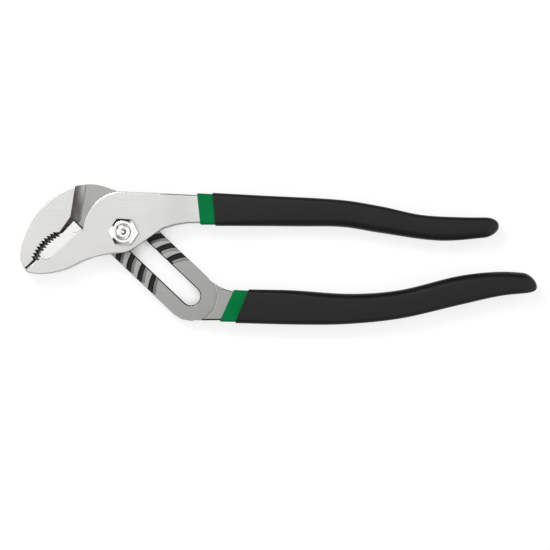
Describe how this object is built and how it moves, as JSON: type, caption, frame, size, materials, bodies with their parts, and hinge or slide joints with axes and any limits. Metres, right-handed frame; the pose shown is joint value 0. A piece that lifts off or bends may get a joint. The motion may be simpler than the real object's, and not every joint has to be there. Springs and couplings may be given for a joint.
{
  "type": "water pump pliers",
  "caption": "Groove-joint pliers: curved toothed jaws, a slotted neck with arc grooves for a tongue, a bolt and nut at the joint, and two-colour dipped handles.",
  "frame": {"origin": "on the pivot axis, at the flat back face of the bolt's head", "axes": "+X to the handles, +Y from the lower handle to the upper one, +Z along the bolt from its head to the nut"},
  "size_m": [0.2991, 0.0814, 0.0223],
  "materials": {
    "satin_nickel": "forged steel with a satin nickel plate",
    "bright_nickel": "turned steel with a bright nickel plate",
    "green_dip": "glossy dipped vinyl",
    "black_dip": "satin dipped vinyl"
  },
  "bodies": {
    "grooved_half": {"upper_jaw_half": "satin_nickel", "lower_grip_under_layer": "green_dip", "lower_grip_outer_layer": "black_dip"},
    "pivot": {"pivot_bolt": "bright_nickel", "pivot_nut": "bright_nickel"},
    "tongue_half": {"lower_jaw_half": "satin_nickel", "upper_grip_under_layer": "green_dip", "upper_grip_outer_layer": "black_dip"}
  },
  "joints": [
    {"name": "groove_shift", "type": "hinge", "parent": "grooved_half", "child": "pivot", "pos_m": [0.35327, 0.33524, 0], "axis": [0, 0, 1], "range_deg": [0, 6]},
    {"name": "jaw_pivot", "type": "hinge", "parent": "pivot", "child": "tongue_half", "pos_m": [0, 0, 0], "axis": [0, 0, 1], "range_deg": [0, 54]}
  ]
}
